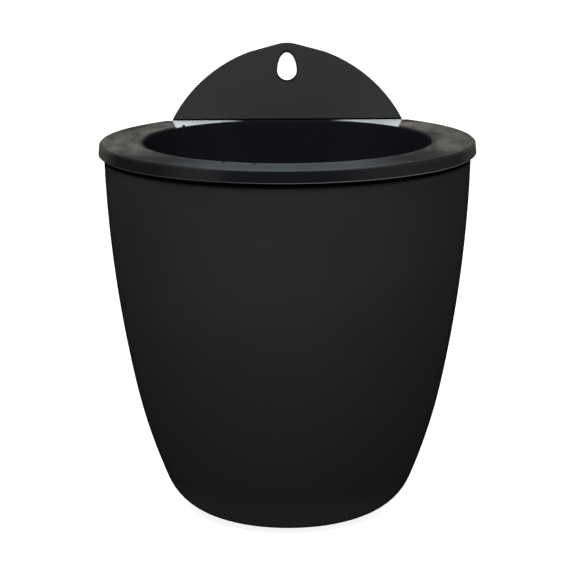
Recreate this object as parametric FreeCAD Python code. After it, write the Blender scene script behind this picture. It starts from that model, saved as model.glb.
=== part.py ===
"""Wall planter: a moulded outer pot that hangs flat on a wall by its arched tab, and an inner pot
that rests in it by a wide flange with a turned-down skirt.

Millimetres, +Z up. The origin is the centre of the foot, on the axis that both pots are turned
about. The front faces -Y and the wall is on the +Y side.
"""
import FreeCAD, Part
import math
import os

Vector = FreeCAD.Vector
AXIS_POINT = Vector(0, 0, 0)
AXIS_UP = Vector(0, 0, 1)

# Overall sizes
RIM_HEIGHT = 182.0            # foot to the top of the flange
RIM_RADIUS = 90.2             # outside of the skirt, the widest part
OPENING_RADIUS = 69.0         # inside of the inner pot at its mouth
WALL_FACE = 65.3              # axis to the front face of the outer pot's flat back

# Outer pot: the turned wall
MOUTH_RADIUS = 87.6           # outside of the wall at the mouth
MOUTH_BAND = 4.0              # upright band below the mouth, under the skirt
POT_WALL = 2.2
BACK_WALL = 2.6               # flat back and tab
BAND_LEAN = 1.4               # degrees off vertical where the side starts below the band
SWEEP_LEAN = 12.0             # degrees off vertical where the upper sweep gives way to the lower
UPPER_SWEEP = 603.0           # radius of the side's gentle upper arc
LOWER_SWEEP = 275.5           # radius of the fuller arc below it
FOOT_ROUND = 28.2             # radius of the arc that turns in under the foot
FLOOR = 3.0
MOUTH_BEVEL = 0.6
BACK_EDGE_ROUND = 0.9

# Outer pot: the foot, seen from below
FOOT_RING_WIDTH = 5.0
FOOT_PAD_RADIUS = 9.0
FOOT_RECESS = 1.0
GATE_RING_RADIUS = 3.2
GATE_RING_WIDTH = 0.6
GATE_RING_DEPTH = 0.3

# Outer pot: the hanging tab, measured from the rim's height
TAB_HEIGHT = 39.0
TAB_SHOULDER_X = 19.0         # where the side's arc gives way to the straight run up to the nose
TAB_SHOULDER_DROP = 4.5
TAB_SIDE_BULGE = 4.9          # how far the side's arc stands outside its chord
TAB_NOSE_HALF_WIDTH = 4.2
TAB_NOSE_DROP = 0.5
TAB_FRONT_ROUND = 0.7
HOLE_CENTRE_HEIGHT = 24.9     # widest level of the teardrop
HOLE_RADIUS = 4.9             # round lower half
HOLE_RISE = 9.3               # upper half, a half ellipse that narrows to the nail's seat

# Inner pot: flange and skirt
FLANGE_THICKNESS = 2.2
FLANGE_EDGE_BEVEL = 0.8
SKIRT_DEPTH = 5.8             # rim to the skirt's lower edge
SKIRT_WALL = 1.4
SKIRT_FLARE = 0.4             # how far the lower edge stands outside the upper
SKIRT_EDGE_BEVEL = 0.4
FLANGE_CORNER_ROUND = 6.0     # seen from above, where the flange meets the wall
LIP_BEVEL = 0.8               # eased edge of the opening

# Inner pot: bucket
BUCKET_WALL = 1.8
BUCKET_DEPTH = 138.0          # rim to the underside of the bucket
BUCKET_FOOT_RADIUS = 50.0     # outside, where the side would meet the underside
BUCKET_BEVEL = 6.0            # between the side and the underside
BUCKET_FLOOR = 2.2
BACK_RIM_WIDTH = 1.3          # strip of rim between the opening and the tab
BACK_CLEARANCE = 0.4          # between the inner pot and the flat back
BACK_BULGE = 220.0            # radius, seen from above, of the bucket's nearly flat back inside

# Inner pot: stiffening ribs under the flange
RIB_COUNT = 15
RIB_SPREAD = 262.0            # degrees round the front, from the first rib to the last
RIB_THICKNESS = 1.2
RIB_DEPTH = 9.0               # below the flange, at the bucket
RIB_TIP_DEPTH = 2.5           # below the flange, at the outer end
RIB_MOUTH_CLEARANCE = 1.0     # between the ribs' ends and the inside of the outer pot's mouth

# Inner pot: drainage
SLOT_COUNT = 8
SLOT_WIDTH = 2.0
SLOT_INNER_RADIUS = 14.0
SLOT_OUTER_RADIUS = 32.0
BUCKET_FOOT_RING_RADIUS = 36.0
BUCKET_FOOT_RING_WIDTH = 1.6
BUCKET_FOOT_RING_HEIGHT = 2.0

# Worked out from the sizes above
BACK_FACE = WALL_FACE + BACK_WALL
LIP_HEIGHT = RIM_HEIGHT - FLANGE_THICKNESS
INNER_BACK = WALL_FACE - BACK_CLEARANCE
REACH = 4 * (RIM_HEIGHT + RIM_RADIUS)
TAB_HALF_WIDTH = math.sqrt(MOUTH_RADIUS ** 2 - WALL_FACE ** 2)


def at(radius, height):
    """A point of a turned profile."""
    return Vector(radius, 0, height)


def line(start, end):
    return Part.makeLine(start, end)


def closed_run(points):
    """The straight edges that join points in turn and close on the first."""
    return [line(points[i - 1], points[i]) for i in range(len(points))]


def turned(edges):
    """The solid that a closed profile makes in one turn about the axis."""
    face = Part.Face(Part.Wire(edges))
    return face.revolve(AXIS_POINT, AXIS_UP, 360)


def ring(inner_radius, outer_radius, low, high):
    """A flat ring between two heights."""
    return turned(closed_run([
        at(inner_radius, low),
        at(outer_radius, low),
        at(outer_radius, high),
        at(inner_radius, high),
    ]))


def in_front_of(plane, solid):
    """The part of a solid on the room's side of a plane parallel to the wall."""
    corner = Vector(-REACH / 2, plane, -REACH / 2)
    return solid.cut(Part.makeBox(REACH, REACH, REACH, corner))


def edges_where(shape, test):
    return [edge for edge in shape.Edges if test(edge)]


def edge_points(edge):
    """Seven points along an edge, the fourth at its middle, for asking where it lies."""
    return edge.discretize(7)


def lies_on(edge, axis, value):
    """Whether an edge lies in the plane where x, y or z has the given value."""
    return all(abs(point[axis] - value) < 1e-4 for point in edge_points(edge))


# ---------------------------------------------------------------- outer pot

def outwards_at(lean):
    """The way out of the side where it leans by so much off vertical."""
    return Vector(math.cos(lean), 0, -math.sin(lean))


def side_arcs(inset):
    """Three tangent arcs from the mouth's band to the ground, moved inwards by the inset: the upper
    sweep, the lower sweep and the foot's round, each drawn from one lean off vertical to the next."""
    start, joint = (math.sin(math.radians(lean)) for lean in (BAND_LEAN, SWEEP_LEAN))
    left = LIP_HEIGHT - MOUTH_BAND - UPPER_SWEEP * (joint - start) - FOOT_ROUND
    foot = (left + LOWER_SWEEP * joint) / (LOWER_SWEEP - FOOT_ROUND)
    leans = [math.asin(sine) for sine in (start, joint, foot, 1)]
    point = at(MOUTH_RADIUS, LIP_HEIGHT - MOUTH_BAND)
    arcs = []
    for number, radius in enumerate((UPPER_SWEEP, LOWER_SWEEP, FOOT_ROUND)):
        first, last = leans[number], leans[number + 1]
        centre = point - outwards_at(first) * radius
        ways = [outwards_at(lean) for lean in (first, (first + last) / 2, last)]
        arcs.append(Part.Arc(*[centre + way * (radius - inset) for way in ways]).toShape())
        point = centre + ways[-1] * radius
    return arcs


def turned_pot(side, mouth_bevel):
    """The turned form that a side's edges enclose, closed at the mouth. A positive bevel draws the
    mouth in and a negative one opens it."""
    shoulder = side[0].firstVertex(True).Point
    foot = side[-1].lastVertex(True).Point
    bevel = at(shoulder.x, LIP_HEIGHT - abs(mouth_bevel))
    mouth = at(shoulder.x - mouth_bevel, LIP_HEIGHT)
    middle = at(0, LIP_HEIGHT)
    bottom = at(0, foot.z)
    return turned([
        line(middle, mouth),
        line(mouth, bevel),
        line(bevel, shoulder),
        *side,
        line(foot, bottom),
        line(bottom, middle),
    ])


def pot_hollow():
    """The inside's turned form down to the floor: straight tapers, two to each arc of the outside,
    that keep the wall at its thickness or a little more."""
    tapers = []
    for arc in side_arcs(POT_WALL):
        corners = arc.discretize(3)
        tapers.append(line(corners[0], corners[1]))
        tapers.append(line(corners[1], corners[2]))
    below = Part.makeCylinder(REACH, REACH, AXIS_POINT + AXIS_UP * (FLOOR - REACH))
    return turned_pot(tapers, -MOUTH_BEVEL).cut(below)


def tab_outline():
    """The tab's closed outline on the wall face: a gothic arch with a blunt nose, on a root as deep
    as the mouth's band."""
    root = LIP_HEIGHT - MOUTH_BAND
    top = RIM_HEIGHT + TAB_HEIGHT
    foot_point = Vector(TAB_HALF_WIDTH, 0, RIM_HEIGHT)
    shoulder = Vector(TAB_SHOULDER_X, 0, top - TAB_SHOULDER_DROP)
    nose = Vector(TAB_NOSE_HALF_WIDTH, 0, top - TAB_NOSE_DROP)
    chord = shoulder - foot_point
    outwards = Vector(chord.z, 0, -chord.x).normalize()
    bulge = (foot_point + shoulder) * 0.5 + outwards * TAB_SIDE_BULGE

    def mirrored(point):
        return Vector(-point.x, 0, point.z)

    root_point = Vector(TAB_HALF_WIDTH, 0, root)
    edges = [
        line(mirrored(root_point), root_point),
        line(root_point, foot_point),
        Part.Arc(foot_point, bulge, shoulder).toShape(),
        line(shoulder, nose),
        Part.Arc(nose, Vector(0, 0, top), mirrored(nose)).toShape(),
        line(mirrored(nose), mirrored(shoulder)),
        Part.Arc(mirrored(shoulder), mirrored(bulge), mirrored(foot_point)).toShape(),
        line(mirrored(foot_point), mirrored(root_point)),
    ]
    wire = Part.Wire(edges)
    wire.translate(Vector(0, WALL_FACE, 0))
    return wire


def teardrop():
    """The cutter for the hanging hole: round below, drawn out to a narrower seat above."""
    centre = Vector(0, WALL_FACE - BACK_WALL, RIM_HEIGHT + HOLE_CENTRE_HEIGHT)
    left = centre - Vector(HOLE_RADIUS, 0, 0)
    right = centre + Vector(HOLE_RADIUS, 0, 0)
    lowest = centre - AXIS_UP * HOLE_RADIUS
    peak = centre + AXIS_UP * HOLE_RISE
    upper = Part.Ellipse(peak, right, centre)
    half = Part.ArcOfEllipse(upper, -math.pi / 2, math.pi / 2).toShape()
    wire = Part.Wire([Part.Arc(left, lowest, right).toShape(), half])
    return Part.Face(wire).extrude(Vector(0, 3 * BACK_WALL, 0))


def tab():
    """The arched tab, trimmed at its root to the round of the mouth."""
    plate = Part.Face(tab_outline()).extrude(Vector(0, BACK_WALL, 0))
    mouth_round = Part.makeCylinder(MOUTH_RADIUS, REACH, Vector(0, 0, -REACH / 2))
    return plate.common(mouth_round)


def is_tab_front(edge):
    """Whether an edge bounds the tab's front face above the rim."""
    return lies_on(edge, 1, WALL_FACE) and edge_points(edge)[3].z > RIM_HEIGHT


def foot_recess():
    """The ring sunk in the foot, and the fine ring left by the moulding gate on the pad inside it."""
    flat_radius = side_arcs(0)[-1].lastVertex(True).X
    recess = ring(FOOT_PAD_RADIUS, flat_radius - FOOT_RING_WIDTH, -FLOOR, FOOT_RECESS)
    gate = ring(GATE_RING_RADIUS, GATE_RING_RADIUS + GATE_RING_WIDTH, -FLOOR, GATE_RING_DEPTH)
    return recess, gate


def outer_pot():
    form = in_front_of(BACK_FACE, turned_pot(side_arcs(0), MOUTH_BEVEL))
    body = form.cut(in_front_of(WALL_FACE, pot_hollow()))
    body = body.fuse(tab()).removeSplitter()
    back_edges = edges_where(body, lambda edge: lies_on(edge, 1, BACK_FACE))
    body = body.makeFillet(BACK_EDGE_ROUND, back_edges)
    body = body.makeFillet(TAB_FRONT_ROUND, edges_where(body, is_tab_front))
    body = body.cut(teardrop())
    for cutter in foot_recess():
        body = body.cut(cutter)
    return body


# ---------------------------------------------------------------- inner pot

def bucket_profile(inset, floor, top):
    """The corners of the bucket's turned form, from its floor up to its top, moved inwards by the
    inset."""
    outer_mouth = OPENING_RADIUS + BUCKET_WALL
    lean = math.atan2(outer_mouth - BUCKET_FOOT_RADIUS, BUCKET_DEPTH)
    foot_height = RIM_HEIGHT - BUCKET_DEPTH

    def radius(height):
        up = height - foot_height
        return BUCKET_FOOT_RADIUS + up * math.tan(lean) - inset / math.cos(lean)

    return [
        at(0, floor),
        at(radius(floor) - BUCKET_BEVEL, floor),
        at(radius(floor + BUCKET_BEVEL), floor + BUCKET_BEVEL),
        at(radius(top), top),
    ]


def opened_out(corners):
    """The turned form whose mouth opens out by the lip's bevel and goes on at that slope."""
    mouth = corners[-1]
    beyond = mouth + at(2 * LIP_BEVEL, 2 * LIP_BEVEL)
    return turned(closed_run([*corners, beyond, at(0, beyond.z)]))


def bucket_hollow(floor):
    """The inside of the bucket with its bevelled lip, round but for its nearly flat back."""
    lip = RIM_HEIGHT - LIP_BEVEL
    bulge = opened_out([AXIS_POINT, at(BACK_BULGE, 0), at(BACK_BULGE, lip)])
    bulge.translate(Vector(0, INNER_BACK - BACK_RIM_WIDTH - BACK_BULGE, 0))
    return opened_out(bucket_profile(BUCKET_WALL, floor, lip)).common(bulge)


def flange():
    """The flat flange with its bevelled outer edge and turned-down skirt, as a full turn."""
    skirt_low = RIM_HEIGHT - SKIRT_DEPTH
    top_radius = RIM_RADIUS - SKIRT_FLARE
    inside = RIM_RADIUS - SKIRT_WALL
    return turned(closed_run([
        at(0, LIP_HEIGHT),
        at(top_radius - SKIRT_WALL, LIP_HEIGHT),
        at(inside, skirt_low + SKIRT_EDGE_BEVEL),
        at(inside + SKIRT_EDGE_BEVEL, skirt_low),
        at(RIM_RADIUS - SKIRT_EDGE_BEVEL, skirt_low),
        at(RIM_RADIUS, skirt_low + SKIRT_EDGE_BEVEL),
        at(top_radius, RIM_HEIGHT - FLANGE_EDGE_BEVEL),
        at(top_radius - FLANGE_EDGE_BEVEL, RIM_HEIGHT),
        at(0, RIM_HEIGHT),
    ]))


def flange_corner(side):
    """The cutter that rounds the flange's corner at the wall, on the right or, for -1, on the left."""
    reach = RIM_RADIUS - FLANGE_CORNER_ROUND
    centre_y = INNER_BACK - FLANGE_CORNER_ROUND
    centre = Vector(side * math.sqrt(reach ** 2 - centre_y ** 2), centre_y, 0)
    to_rim = centre / reach
    to_wall = Vector(0, 1, 0)
    between = (to_rim + to_wall).normalize()
    on_wall, middle, on_rim = (centre + way * FLANGE_CORNER_ROUND for way in (to_wall, between, to_rim))
    beyond = centre + between * RIM_RADIUS
    wire = Part.Wire([
        Part.Arc(on_wall, middle, on_rim).toShape(),
        line(on_rim, beyond),
        line(beyond, on_wall),
    ])
    return Part.Face(wire).extrude(AXIS_UP * REACH)


def rib(angle):
    """One upright web under the flange, deepest at the bucket."""
    inner = OPENING_RADIUS - BUCKET_WALL
    outer = MOUTH_RADIUS - POT_WALL - RIB_MOUTH_CLEARANCE
    web = Part.Face(Part.Wire(closed_run([
        at(inner, LIP_HEIGHT),
        at(outer, LIP_HEIGHT),
        at(outer, LIP_HEIGHT - RIB_TIP_DEPTH),
        at(OPENING_RADIUS + BUCKET_WALL, LIP_HEIGHT - RIB_DEPTH),
        at(inner, LIP_HEIGHT - RIB_DEPTH),
    ])))
    web = web.extrude(Vector(0, RIB_THICKNESS, 0))
    web.translate(Vector(0, -RIB_THICKNESS / 2, 0))
    web.rotate(AXIS_POINT, AXIS_UP, angle)
    return web


def ribs():
    """The webs, evenly spread about the front."""
    step = RIB_SPREAD / (RIB_COUNT - 1)
    first = -90 - RIB_SPREAD / 2
    return [rib(first + step * number) for number in range(RIB_COUNT)]


def drain_slot(angle):
    """The cutter for one radial slot with round ends."""
    half = SLOT_WIDTH / 2
    start = Vector(SLOT_INNER_RADIUS + half, -half, 0)
    end = Vector(SLOT_OUTER_RADIUS - half, -half, 0)
    wire = Part.Wire([
        line(start, end),
        Part.Arc(end, end + Vector(half, half, 0), end + Vector(0, SLOT_WIDTH, 0)).toShape(),
        line(end + Vector(0, SLOT_WIDTH, 0), start + Vector(0, SLOT_WIDTH, 0)),
        Part.Arc(start + Vector(0, SLOT_WIDTH, 0), start + Vector(-half, half, 0), start).toShape(),
    ])
    slot = Part.Face(wire).extrude(AXIS_UP * RIM_HEIGHT)
    slot.rotate(AXIS_POINT, AXIS_UP, angle)
    return slot


def inner_pot():
    underside = RIM_HEIGHT - BUCKET_DEPTH
    floor = underside + BUCKET_FLOOR
    foot_ring = ring(
        BUCKET_FOOT_RING_RADIUS - BUCKET_FOOT_RING_WIDTH,
        BUCKET_FOOT_RING_RADIUS,
        underside - BUCKET_FOOT_RING_HEIGHT,
        underside + BUCKET_FLOOR / 2,
    )
    top = LIP_HEIGHT + FLANGE_THICKNESS / 2
    body = turned(closed_run(bucket_profile(0, underside, top) + [at(0, top)]))
    body = body.fuse([flange(), foot_ring] + ribs())
    body = in_front_of(INNER_BACK, body).cut([flange_corner(side) for side in (-1, 1)])
    body = body.cut(bucket_hollow(floor)).removeSplitter()
    for number in range(SLOT_COUNT):
        body = body.cut(drain_slot(360 / SLOT_COUNT * (number + 0.5)))
    return body


def main():
    os.makedirs("parts", exist_ok=True)
    for name, shape in (("outer_pot", outer_pot()), ("inner_pot", inner_pot())):
        solids = shape.Solids
        print(name, "solids", len(solids), "valid", shape.isValid(), "volume", round(shape.Volume))
        solids[0].exportStep("parts/" + name + ".step")


main()
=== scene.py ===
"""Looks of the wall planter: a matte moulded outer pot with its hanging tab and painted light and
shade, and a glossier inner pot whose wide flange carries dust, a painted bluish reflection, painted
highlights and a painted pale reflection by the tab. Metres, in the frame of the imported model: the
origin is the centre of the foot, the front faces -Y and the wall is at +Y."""
import bpy
import math
from mathutils import Matrix, Vector


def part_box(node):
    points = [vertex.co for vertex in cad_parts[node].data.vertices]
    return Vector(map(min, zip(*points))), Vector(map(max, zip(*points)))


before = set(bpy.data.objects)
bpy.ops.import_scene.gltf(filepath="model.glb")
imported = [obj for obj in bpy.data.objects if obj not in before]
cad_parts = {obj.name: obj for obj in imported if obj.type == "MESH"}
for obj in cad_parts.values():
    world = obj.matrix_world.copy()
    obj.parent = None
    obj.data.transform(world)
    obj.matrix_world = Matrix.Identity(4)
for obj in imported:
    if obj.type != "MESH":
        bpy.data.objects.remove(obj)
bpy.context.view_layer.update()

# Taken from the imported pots
RIM_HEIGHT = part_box("inner_pot")[1].z
RIM_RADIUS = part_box("inner_pot")[1].x
BACK_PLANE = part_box("outer_pot")[1].y

# Sizes of the pots that the finishes follow
OPENING_RADIUS = 0.069
HEM_HEIGHT = RIM_HEIGHT - 0.0058    # the skirt's lower edge
TAB_FRONT = BACK_PLANE - 0.0026
HOLE_CENTRE = RIM_HEIGHT + 0.0249   # the hanging hole's widest level
HOLE_RADIUS = 0.0049                # round below that level
HOLE_RISE = 0.0093                  # a half ellipse above it

# Outer pot: the spans over which one tone gives way to the next
LOWER_POT_SHADE = (0.050, 0.150)              # up the side, over which the painted shade of the lower pot gives way
FOOT_BOUNCE_LIGHT = (0.004, 0.022)          # up from the floor: painted light from the floor on the foot
FOOT_SHADE = (0.0008, 0.0045)
REAR_SHADE = (-0.032, -0.008)           # from front to back: painted shade on the rear half, darkening the body's outer edges
SKIRT_SHADOW = (-0.0036, -0.0016)        # from the hem's height: the painted shadow under the skirt
BEFORE_BACK = (-0.0008, -0.0003)    # from the back plane
TAB_STARTS = (0.0, 0.001)           # from the rim's height
# the painted shadow line at the tab's base, from the rim's height
BASE_SHADOW_LOW = (-0.0008, -0.0003)
BASE_SHADOW_HIGH = (0.0005, 0.0011)
TAB_EDGE_SHADE = (0.00006, 0.0003)    # from the tab's front: painted shade along its rounded edge
HOLE_SHADE = (0.0002, 0.0010)        # from the hole's outline: painted shade round the hole

# Outer pot: tones, palest on the tab
POT_TONES = ((0.0190, 0.0190, 0.0193), (0.0216, 0.0216, 0.0218))
# painted shade: the darker tone of the lower pot
LOWER_POT_SHADE_TONE = (0.0155, 0.0155, 0.0157)
# painted light: the foot's lighter tone, as lit from the floor
FOOT_LIT_TONE = (0.0350, 0.0350, 0.0352)
FOOT_SHADE_STRENGTH = 0.7
REAR_SHADE_STRENGTH = 0.30
# painted shadow: near black under the skirt's hem
SKIRT_SHADOW_TONE = (0.0009, 0.0009, 0.0009)
TAB_TONES = ((0.0310, 0.0310, 0.0310), (0.0335, 0.0335, 0.0335))
# painted shade on the tab's rounded edge and round its hole
TAB_EDGE_SHADE_TONE = (0.0070, 0.0070, 0.0070)
# painted shadow at the tab's base
BASE_SHADOW_TONE = (0.002, 0.002, 0.002)
LINT_TONE = (0.12, 0.12, 0.12)
LINT_STRENGTH = 0.08
BLACK = (0.0, 0.0, 0.0)

# Inner pot: the flange's dust, painted reflection and painted highlights
ON_TOP = (-0.0005, -0.0002)         # from the rim's height
DUST_ENDS = -0.052                  # in front of this the flange has no dust
DUST_STARTS = -0.030                # behind this it is fully dusty
DUST_FROM_OPENING = 0.0022
DUST_FROM_EDGE = 0.0014
DUST_SOFT = 0.0014
FRONT_REFLECTION_SPREADS = (0.024, 0.056)       # to each side of the front, over which the painted bluish reflection ends
LIP_HIGHLIGHT = (0.0035, 0.0008)         # painted highlight by the opening: width, and how soft its edges are
# painted highlight on the flange's outer edge
EDGE_HIGHLIGHT = (0.0034, 0.0006)
TAB_SHADOW_STRIP = (0.052, 0.060)         # towards the tab: painted shadow of the tab, in the bare tone
BROWN_PLACE = (0.0590, 0.0560)
BROWN_SIZE = (0.0060, 0.0160)
BROWN_STRENGTH = 0.6
DUST_TONES = ((0.014, 0.014, 0.012), (0.062, 0.060, 0.052))
DUST_EDGE_TONE = (0.016, 0.016, 0.015)
BROWN_TONE = (0.105, 0.086, 0.076)
CORNER_TONE = (0.0076, 0.0076, 0.0078)
# painted reflection: the bluish front of the flange
FRONT_REFLECTION_TONES = ((0.031, 0.037, 0.042), (0.035, 0.041, 0.045))
# painted highlights on the flange's two front edges
HIGHLIGHT_TONE = (0.045, 0.049, 0.056)
BARE_TONE = (0.0064, 0.0068, 0.0084)

# Inner pot: the painted pale reflection beside the tab, and the nicks in the opening's edge
TAB_REFLECTION_END = 0.0498                   # sideways, where the painted reflection's ends would cross the pots' middle
TAB_REFLECTION_SLANT = 0.13                   # how far the ends run outwards for each metre back
TAB_REFLECTION_END_SOFT = 0.0006
TAB_REFLECTION_STARTS = (0.034, 0.038)        # from front to back
TAB_REFLECTION_THINS = (0.021, 0.034)         # out from the middle
# painted reflection: the pale tones beside the tab
TAB_REFLECTION_TONES = ((0.34, 0.385, 0.405), (0.405, 0.44, 0.46))
NICKS = ((-0.0288, -0.0655), (-0.0150, -0.0700), (-0.0518, 0.0475))
NICK_SIZE = (0.0012, 0.0030)
NICK_TONE = (0.010, 0.010, 0.011)
SPOT_FADES = (0.5, 1.0)             # shares of a spot's size

# Inner pot: the skirt and the painted highlight on its hem
SKIRT_OUTSIDE = (-0.0012, -0.0006)  # from the rim's radius
SKIRT_NEUTRAL = (0.030, 0.060)      # to each side
SKIRT_DUSTY = (0.0780, 0.0870)
SCUFF_RIGHT = (0.0150, 0.0500)
SCUFF_LEFT = (-0.0520, -0.0300)
SCUFF_SOFT = 0.0080
HEM_HIGHLIGHT = (0.0004, 0.0001)         # painted highlight on the hem: width, and how soft its edges are
HEM_BRIGHTENS = (-0.045, 0.030)     # from left to right
HEM_DULLEST = 0.35
HEM_IN_FRONT = (-0.010, -0.050)     # from back to front
NEUTRAL_TONE = (0.0080, 0.0080, 0.0080)
SCUFF_TONE = (0.0155, 0.0155, 0.0160)
DUSTY_SKIRT_TONE = (0.040, 0.040, 0.035)
# painted highlight on the hem
HEM_HIGHLIGHT_TONE = (0.24, 0.245, 0.25)

# Noise: scale and detail, then how far it is drawn out along Y and its roughness
POT_MOTTLE = (16.0, 3.0)
POT_GRAIN = (1500.0, 2.0)
POT_LINT = (260.0, 1.0)
DUST_BLOTCH = (150.0, 3.0, 4.0, 0.55)
DUST_CLOUD = (45.0, 2.0, 2.5)
TAB_REFLECTION_STREAKS = (90.0, 2.0)
SMEARS = (60.0, 2.0)

# The noise values between which each pattern changes
SOFT_PATTERN = (0.3, 0.7)
GRAIN_PATTERN = (0.2, 0.8)
LINT_PATTERN = (0.76, 0.82)
DUST_PATTERN = (0.38, 0.62)
FRONT_REFLECTION_PATTERN = (0.35, 0.65)

# Gloss and relief
POT_ROUGHNESS = (0.52, 0.66)
POT_SPECULAR = 0.0
POT_RELIEF = 0.00003
INNER_ROUGHNESS = (0.34, 0.50)
INNER_SPECULAR = 0.003
INNER_RELIEF = 0.00002

# Camera, set by the photograph's perspective
CAMERA_AWAY = 1.0418                # in front of the pots' axis
CAMERA_ABOVE_RIM = 0.1611
CAMERA_PITCH = math.radians(12.61)
CAMERA_ROLL = math.radians(-0.355)
CAMERA_YAW = math.radians(0.046)
CAMERA_LENS = 138.22                # millimetres, as the sensor is
CAMERA_SENSOR = 36.0
CAMERA_REACH = 50

# Light: each lamp's name, place, width and power in watts
LAMPS = (
    ("key", (-0.95, -1.42, 2.1), 1.1, 57),
    ("fill", (1.00, -1.45, 1.9), 1.1, 42),
    ("back", (-0.7, 1.5, 1.7), 1.2, 32),
)
LAMPS_AIM = (0, 0, RIM_HEIGHT * 0.6)
AMBIENT = 0.10                      # the surroundings as light
WHITE = 1.0                         # the surroundings as seen
FLOOR_HALF_WIDTH = 12.0
FLOOR_TONE = (0.35, 0.35, 0.35)
FLOOR_ROUGHNESS = 0.9
FLOOR_GLOW = 0.90                   # what the camera sees of the floor in full shadow


def about(place, span):
    """A span's two ends, measured from a place."""
    return place + span[0], place + span[1]


# ------------------------------------------------------------------ finishes

class Finish:
    """A node material and the few nodes that this object's finishes are made of."""

    def __init__(self, name):
        self.material = bpy.data.materials.new(name)
        self.material.use_nodes = True
        self.nodes = self.material.node_tree.nodes
        self.links = self.material.node_tree.links
        self.shader = self.nodes["Principled BSDF"]
        self.place = self.nodes.new("ShaderNodeTexCoord").outputs["Object"]
        split = self.nodes.new("ShaderNodeSeparateXYZ")
        self.links.new(self.place, split.inputs[0])
        self.x, self.y, self.z = split.outputs

    def set(self, socket, value):
        """A socket's value, from a number, a colour or another node's output."""
        if isinstance(value, (int, float)):
            socket.default_value = value
        elif isinstance(value, tuple):
            socket.default_value = (*value, 1.0)
        else:
            self.links.new(value, socket)

    def noise(self, scale, detail, stretch=1.0, roughness=0.5):
        """Procedural noise on Object coordinates, drawn out along Y by a stretch."""
        node = self.nodes.new("ShaderNodeTexNoise")
        node.inputs["Scale"].default_value = scale
        node.inputs["Detail"].default_value = detail
        node.inputs["Roughness"].default_value = roughness
        drawn_out = self.nodes.new("ShaderNodeMapping")
        drawn_out.inputs["Scale"].default_value = (1.0, 1.0 / stretch, 1.0)
        self.links.new(self.place, drawn_out.inputs["Vector"])
        self.links.new(drawn_out.outputs[0], node.inputs["Vector"])
        return node.outputs[0]

    def ramp(self, source, low, high, start=0.0, end=1.0):
        """A value mapped smoothly from one span to another."""
        node = self.nodes.new("ShaderNodeMapRange")
        node.interpolation_type = "SMOOTHSTEP"
        for name, value in zip(("Value", "From Min", "From Max", "To Min", "To Max"),
                               (source, low, high, start, end)):
            self.set(node.inputs[name], value)
        return node.outputs["Result"]

    def fall(self, source, low, high, start=1.0):
        """A mask that is full below a span and 0 above it."""
        return self.ramp(source, low, high, start, 0.0)

    def band(self, source, low, high, soft):
        """A mask that is full between two values and 0 outside them."""
        return self.times(self.ramp(source, low - soft, low + soft),
                          self.fall(source, high - soft, high + soft))

    def math(self, operation, first, second=0.0):
        node = self.nodes.new("ShaderNodeMath")
        node.operation = operation
        self.set(node.inputs[0], first)
        self.set(node.inputs[1], second)
        return node.outputs[0]

    def times(self, *factors):
        """The product of several masks."""
        product = factors[0]
        for factor in factors[1:]:
            product = self.math("MULTIPLY", product, factor)
        return product

    def mix(self, factor, first, second):
        """Two colours mixed by a factor."""
        node = self.nodes.new("ShaderNodeMix")
        node.data_type = "RGBA"
        self.set(node.inputs["Factor"], factor)
        self.set(node.inputs[6], first)
        self.set(node.inputs[7], second)
        return node.outputs[2]

    def length(self, across, along):
        """The length of the flat vector that two values make."""
        join = self.nodes.new("ShaderNodeCombineXYZ")
        self.set(join.inputs[0], across)
        self.set(join.inputs[1], along)
        node = self.nodes.new("ShaderNodeVectorMath")
        node.operation = "LENGTH"
        self.links.new(join.outputs[0], node.inputs[0])
        return node.outputs["Value"]

    def spot(self, place, size):
        """A small oval patch, seen from above, at a place."""
        sideways = self.math("DIVIDE", self.math("SUBTRACT", self.x, place[0]), size[0])
        forwards = self.math("DIVIDE", self.math("SUBTRACT", self.y, place[1]), size[1])
        return self.fall(self.length(sideways, forwards), *SPOT_FADES)

    def bump(self, height, distance):
        node = self.nodes.new("ShaderNodeBump")
        node.inputs["Distance"].default_value = distance
        self.links.new(height, node.inputs["Height"])
        self.links.new(node.outputs["Normal"], self.shader.inputs["Normal"])

    def colour(self, value):
        self.set(self.shader.inputs["Base Color"], value)

    def gloss(self, roughness, specular):
        self.set(self.shader.inputs["Roughness"], roughness)
        self.shader.inputs["Specular IOR Level"].default_value = specular


def pot_tone(finish, mottle, before_back):
    """The pot, with painted shade lower down, on its rear half, at the foot's edge and under the
    skirt, and painted light from the floor just above the foot.
    """
    pot = finish.mix(mottle, *POT_TONES)
    # painted shade: darker towards the bottom
    pot = finish.mix(finish.ramp(finish.z, *LOWER_POT_SHADE), LOWER_POT_SHADE_TONE, pot)
    # painted light from the floor, lightening the foot
    pot = finish.mix(finish.fall(finish.z, *FOOT_BOUNCE_LIGHT), pot, FOOT_LIT_TONE)
    # painted shade on the rear half, for the body's dark outer edges
    rear_shade = finish.ramp(finish.y, *REAR_SHADE)
    pot = finish.mix(finish.times(rear_shade, REAR_SHADE_STRENGTH), pot, BLACK)
    pot = finish.mix(finish.fall(finish.z, *FOOT_SHADE, FOOT_SHADE_STRENGTH), pot, BLACK)
    # painted shadow under the skirt, in front of the back plane
    skirt_shadow = finish.times(finish.ramp(finish.z, *about(HEM_HEIGHT, SKIRT_SHADOW)), before_back)
    return finish.mix(skirt_shadow, pot, SKIRT_SHADOW_TONE)


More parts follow.
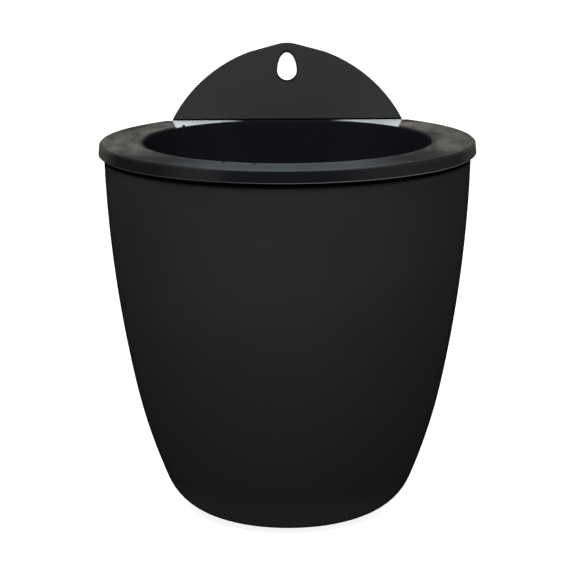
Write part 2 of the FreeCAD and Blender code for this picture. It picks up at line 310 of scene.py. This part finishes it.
def tab_tone(finish, mottle, before_back):
    """The tab, with painted shade along its rounded edge and round its hole."""
    tab = finish.mix(mottle, *TAB_TONES)
    rounded = finish.times(finish.ramp(finish.y, *about(TAB_FRONT, TAB_EDGE_SHADE)), before_back)
    over_hole = finish.math("SUBTRACT", finish.z, HOLE_CENTRE)
    upper = finish.times(finish.math("MAXIMUM", over_hole, 0.0), HOLE_RADIUS / HOLE_RISE)
    lower = finish.math("MINIMUM", over_hole, 0.0)
    from_hole = finish.length(finish.x, finish.math("ADD", upper, lower))
    hole_shade_mask = finish.fall(from_hole, *about(HOLE_RADIUS, HOLE_SHADE))
    return finish.mix(finish.math("MAXIMUM", rounded, hole_shade_mask), tab, TAB_EDGE_SHADE_TONE)


def matte_plastic():
    """The outer pot's fine matte moulding: pot and tab, with a painted shadow line at the tab's base
    and a little lint."""
    finish = Finish("matte_plastic")
    grain = finish.noise(*POT_GRAIN)
    mottle = finish.ramp(finish.noise(*POT_MOTTLE), *SOFT_PATTERN)
    before_back = finish.fall(finish.y, *about(BACK_PLANE, BEFORE_BACK))

    pot = pot_tone(finish, mottle, before_back)
    tab = tab_tone(finish, mottle, before_back)
    tone = finish.mix(finish.ramp(finish.z, *about(RIM_HEIGHT, TAB_STARTS)), pot, tab)
    # painted shadow along the tab's base
    base_shadow = finish.times(finish.fall(finish.z, *about(RIM_HEIGHT, BASE_SHADOW_HIGH)),
                             finish.ramp(finish.z, *about(RIM_HEIGHT, BASE_SHADOW_LOW)),
                             before_back)
    tone = finish.mix(base_shadow, tone, BASE_SHADOW_TONE)
    lint = finish.ramp(finish.noise(*POT_LINT), *LINT_PATTERN, 0.0, LINT_STRENGTH)
    finish.colour(finish.mix(lint, tone, LINT_TONE))
    finish.gloss(finish.ramp(grain, *GRAIN_PATTERN, *POT_ROUGHNESS), POT_SPECULAR)
    finish.bump(grain, POT_RELIEF)
    return finish.material


def dusty_tone(finish, blotch, cloud, radius):
    """The flange's sides: blotched dust that stops short of both edges and of the front corners."""
    patches = finish.math("ADD", finish.times(blotch, 0.5), finish.times(cloud, 0.5))
    dusty = finish.mix(finish.ramp(patches, *DUST_PATTERN), *DUST_TONES)
    brown = finish.times(finish.spot(BROWN_PLACE, BROWN_SIZE), BROWN_STRENGTH)
    dusty = finish.mix(brown, dusty, BROWN_TONE)
    inside_edges = finish.band(radius, OPENING_RADIUS + DUST_FROM_OPENING,
                               RIM_RADIUS - DUST_FROM_EDGE, DUST_SOFT)
    dusty = finish.mix(inside_edges, DUST_EDGE_TONE, dusty)
    return finish.mix(finish.ramp(finish.y, DUST_ENDS, DUST_STARTS), CORNER_TONE, dusty)


def front_reflection_tone(finish, cloud, radius):
    """The flange's front: a painted bluish reflection between two painted highlight lines."""
    front_reflection = finish.mix(finish.ramp(cloud, *FRONT_REFLECTION_PATTERN), *FRONT_REFLECTION_TONES)
    width, soft = LIP_HIGHLIGHT
    lip_highlight = finish.band(radius, OPENING_RADIUS, OPENING_RADIUS + width, soft)
    width, soft = EDGE_HIGHLIGHT
    edge_highlight = finish.band(radius, RIM_RADIUS - width, RIM_RADIUS, soft)
    return finish.mix(finish.math("MAXIMUM", lip_highlight, edge_highlight), front_reflection, HIGHLIGHT_TONE)


def tab_reflection_mask(finish, sideways):
    """Where the painted pale reflection lies beside the tab, its ends slanting a little outwards."""
    end = finish.math("ADD", finish.times(finish.y, TAB_REFLECTION_SLANT), TAB_REFLECTION_END)
    outside = finish.math("SUBTRACT", sideways, end)
    return finish.times(finish.fall(outside, -TAB_REFLECTION_END_SOFT, TAB_REFLECTION_END_SOFT),
                        finish.ramp(finish.y, *TAB_REFLECTION_STARTS),
                        finish.ramp(sideways, *TAB_REFLECTION_THINS))


def skirt_tone(finish, sideways):
    """The skirt: scuffed in places, dusty at both ends, with a painted highlight along its hem."""
    scuffed = finish.math("MAXIMUM", finish.ramp(finish.x, *SCUFF_RIGHT),
                          finish.band(finish.x, *SCUFF_LEFT, SCUFF_SOFT))
    skirt = finish.mix(finish.ramp(sideways, *SKIRT_NEUTRAL), BARE_TONE, NEUTRAL_TONE)
    skirt = finish.mix(scuffed, skirt, SCUFF_TONE)
    skirt = finish.mix(finish.ramp(sideways, *SKIRT_DUSTY), skirt, DUSTY_SKIRT_TONE)
    width, soft = HEM_HIGHLIGHT
    hem_highlight = finish.times(finish.band(finish.z, HEM_HEIGHT, HEM_HEIGHT + width, soft),
                        finish.ramp(finish.x, *HEM_BRIGHTENS, HEM_DULLEST, 1.0),
                        finish.ramp(finish.y, *HEM_IN_FRONT))
    return finish.mix(hem_highlight, skirt, HEM_HIGHLIGHT_TONE)


def gloss_plastic():
    """The inner pot's glossier moulding. Its flange is dusty at the sides, dark at the two front
    corners, with a painted bluish reflection and painted highlights in front, a painted pale
    reflection and a painted shadow beside the tab, and nicks at the opening."""
    finish = Finish("gloss_plastic")
    radius = finish.length(finish.x, finish.y)
    sideways = finish.math("ABSOLUTE", finish.x)
    blotch = finish.noise(*DUST_BLOTCH)
    cloud = finish.noise(*DUST_CLOUD)

    top = dusty_tone(finish, blotch, cloud, radius)
    # where the painted bluish reflection lies, on the flange's front
    front_reflection_mask = finish.times(finish.ramp(finish.y, DUST_STARTS, DUST_ENDS),
                            finish.fall(sideways, *FRONT_REFLECTION_SPREADS))
    top = finish.mix(front_reflection_mask, top, front_reflection_tone(finish, cloud, radius))
    # painted shadow of the tab on the flange's back strip
    top = finish.mix(finish.ramp(finish.y, *TAB_SHADOW_STRIP), top, BARE_TONE)
    # painted pale reflection beside the tab, streaked
    tab_reflection = finish.mix(finish.ramp(finish.noise(*TAB_REFLECTION_STREAKS), *SOFT_PATTERN), *TAB_REFLECTION_TONES)
    top = finish.mix(tab_reflection_mask(finish, sideways), top, tab_reflection)
    for nick in NICKS:
        top = finish.mix(finish.spot(nick, NICK_SIZE), top, NICK_TONE)

    outermost = finish.ramp(radius, *about(RIM_RADIUS, SKIRT_OUTSIDE))
    below = finish.mix(outermost, BARE_TONE, skirt_tone(finish, sideways))
    on_top = finish.ramp(finish.z, *about(RIM_HEIGHT, ON_TOP))
    finish.colour(finish.mix(on_top, below, top))
    smears = finish.ramp(finish.noise(*SMEARS), *SOFT_PATTERN, *INNER_ROUGHNESS)
    finish.gloss(smears, INNER_SPECULAR)
    finish.bump(blotch, INNER_RELIEF)
    return finish.material


def floor_paint():
    """White to the camera where no shadow falls, and a plain pale surface to everything else."""
    finish = Finish("pale_floor")
    finish.colour(FLOOR_TONE)
    finish.gloss(FLOOR_ROUGHNESS, 0.0)
    path = finish.nodes.new("ShaderNodeLightPath")
    glow = finish.math("MULTIPLY", path.outputs["Is Camera Ray"], FLOOR_GLOW)
    finish.set(finish.shader.inputs["Emission Color"], (1.0, 1.0, 1.0))
    finish.set(finish.shader.inputs["Emission Strength"], glow)
    return finish.material


# ------------------------------------------------------------------ the set

def floor():
    half = FLOOR_HALF_WIDTH
    corners = [(-half, -half, 0), (half, -half, 0), (half, half, 0), (-half, half, 0)]
    mesh = bpy.data.meshes.new("floor")
    mesh.from_pydata(corners, [], [(0, 1, 2, 3)])
    mesh.materials.append(floor_paint())
    plate = bpy.data.objects.new("floor", mesh)
    bpy.context.scene.collection.objects.link(plate)


def surroundings():
    """White to the camera and in reflections, and a plain soft grey as light."""
    world = bpy.data.worlds.new("surroundings")
    bpy.context.scene.world = world
    world.use_nodes = True
    nodes, links = world.node_tree.nodes, world.node_tree.links
    path = nodes.new("ShaderNodeLightPath")
    seen = path.outputs["Is Camera Ray"]
    for name in ("Is Glossy Ray", "Is Transmission Ray"):
        either = nodes.new("ShaderNodeMath")
        either.operation = "MAXIMUM"
        links.new(seen, either.inputs[0])
        links.new(path.outputs[name], either.inputs[1])
        seen = either.outputs[0]
    strength = nodes.new("ShaderNodeMapRange")
    links.new(seen, strength.inputs["Value"])
    strength.inputs["To Min"].default_value = AMBIENT
    strength.inputs["To Max"].default_value = WHITE
    background = nodes["Background"]
    background.inputs["Color"].default_value = (1, 1, 1, 1)
    links.new(strength.outputs["Result"], background.inputs["Strength"])


def lamp(name, place, size, power):
    light = bpy.data.lights.new(name, "AREA")
    light.shape = "DISK"
    light.size = size
    light.energy = power
    holder = bpy.data.objects.new(name, light)
    bpy.context.scene.collection.objects.link(holder)
    holder.location = place
    ahead = Vector(LAMPS_AIM) - Vector(place)
    holder.rotation_euler = ahead.to_track_quat("-Z", "Y").to_euler()


def camera():
    eye = bpy.data.cameras.new("camera")
    eye.lens = CAMERA_LENS
    eye.sensor_width = CAMERA_SENSOR
    eye.clip_end = CAMERA_REACH
    holder = bpy.data.objects.new("camera", eye)
    bpy.context.scene.collection.objects.link(holder)
    turn = (
        Matrix.Rotation(CAMERA_YAW, 4, "Z")
        @ Matrix.Rotation(math.pi / 2 - CAMERA_PITCH, 4, "X")
        @ Matrix.Rotation(CAMERA_ROLL, 4, "Z")
    )
    place = Matrix.Translation((0, -CAMERA_AWAY, RIM_HEIGHT + CAMERA_ABOVE_RIM))
    holder.matrix_world = place @ turn
    bpy.context.scene.camera = holder


def dress(node, material):
    """Gives a carried-over solid its finish."""
    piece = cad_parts[node]
    piece.data.materials.clear()
    piece.data.materials.append(material)


dress("outer_pot", matte_plastic())
dress("inner_pot", gloss_plastic())
floor()
surroundings()
for name, place, size, power in LAMPS:
    lamp(name, place, size, power)
camera()
bpy.context.scene.view_settings.view_transform = "Standard"
